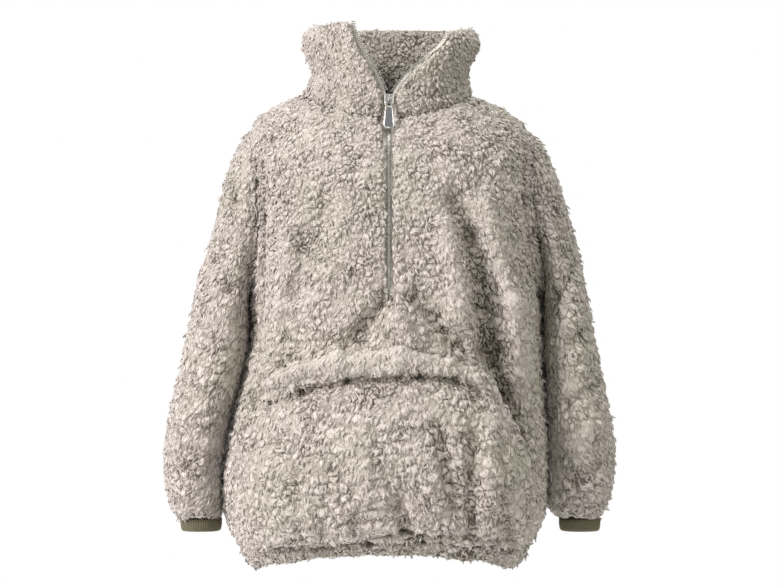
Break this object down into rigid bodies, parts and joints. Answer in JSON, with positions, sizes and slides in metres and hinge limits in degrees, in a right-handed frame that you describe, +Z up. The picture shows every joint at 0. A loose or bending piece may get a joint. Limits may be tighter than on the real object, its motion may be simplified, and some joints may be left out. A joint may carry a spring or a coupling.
{
  "type": "half-zip fleece pullover",
  "caption": "Fluffy fleece pullover, filled out as if worn, with a stand collar, half zip, kangaroo pocket and knit cuffs.",
  "frame": {"origin": "middle of the neck opening, level with the shoulders' inner ends, where the wearer carries the garment", "axes": "+Z up along the body, +Y towards the back, so the front faces -Y, and +X to the right of someone looking at the front"},
  "size_m": [0.5386, 0.2871, 0.6531],
  "materials": {
    "fleece": "greige polyester sherpa fleece, curly pile",
    "rib_knit": "plain elastic knit",
    "zip_tape": "woven polyester tape",
    "zip_metal": "nickel-plated zinc alloy"
  },
  "bodies": {
    "garment": {"front": "fleece", "back": "fleece", "sleeve_left": "fleece", "sleeve_right": "fleece", "collar_outer": "fleece", "collar_inner": "fleece", "pocket": "fleece", "hem_band": "fleece", "cuff_left": "rib_knit", "cuff_right": "rib_knit", "zip_tape_left": "zip_tape", "zip_tape_right": "zip_tape", "zip_chain": "zip_metal", "zip_teeth_left": "zip_metal", "zip_teeth_right": "zip_metal", "zip_stop": "zip_metal", "zip_slider": "zip_metal"},
    "pull": {"pull_tab": "zip_metal"}
  },
  "joints": [
    {"name": "pull_swing", "type": "hinge", "parent": "garment", "child": "pull", "pos_m": [0, -0.0787, -0.00325], "axis": [-1, 0, 0], "range_deg": [0, 150]}
  ]
}
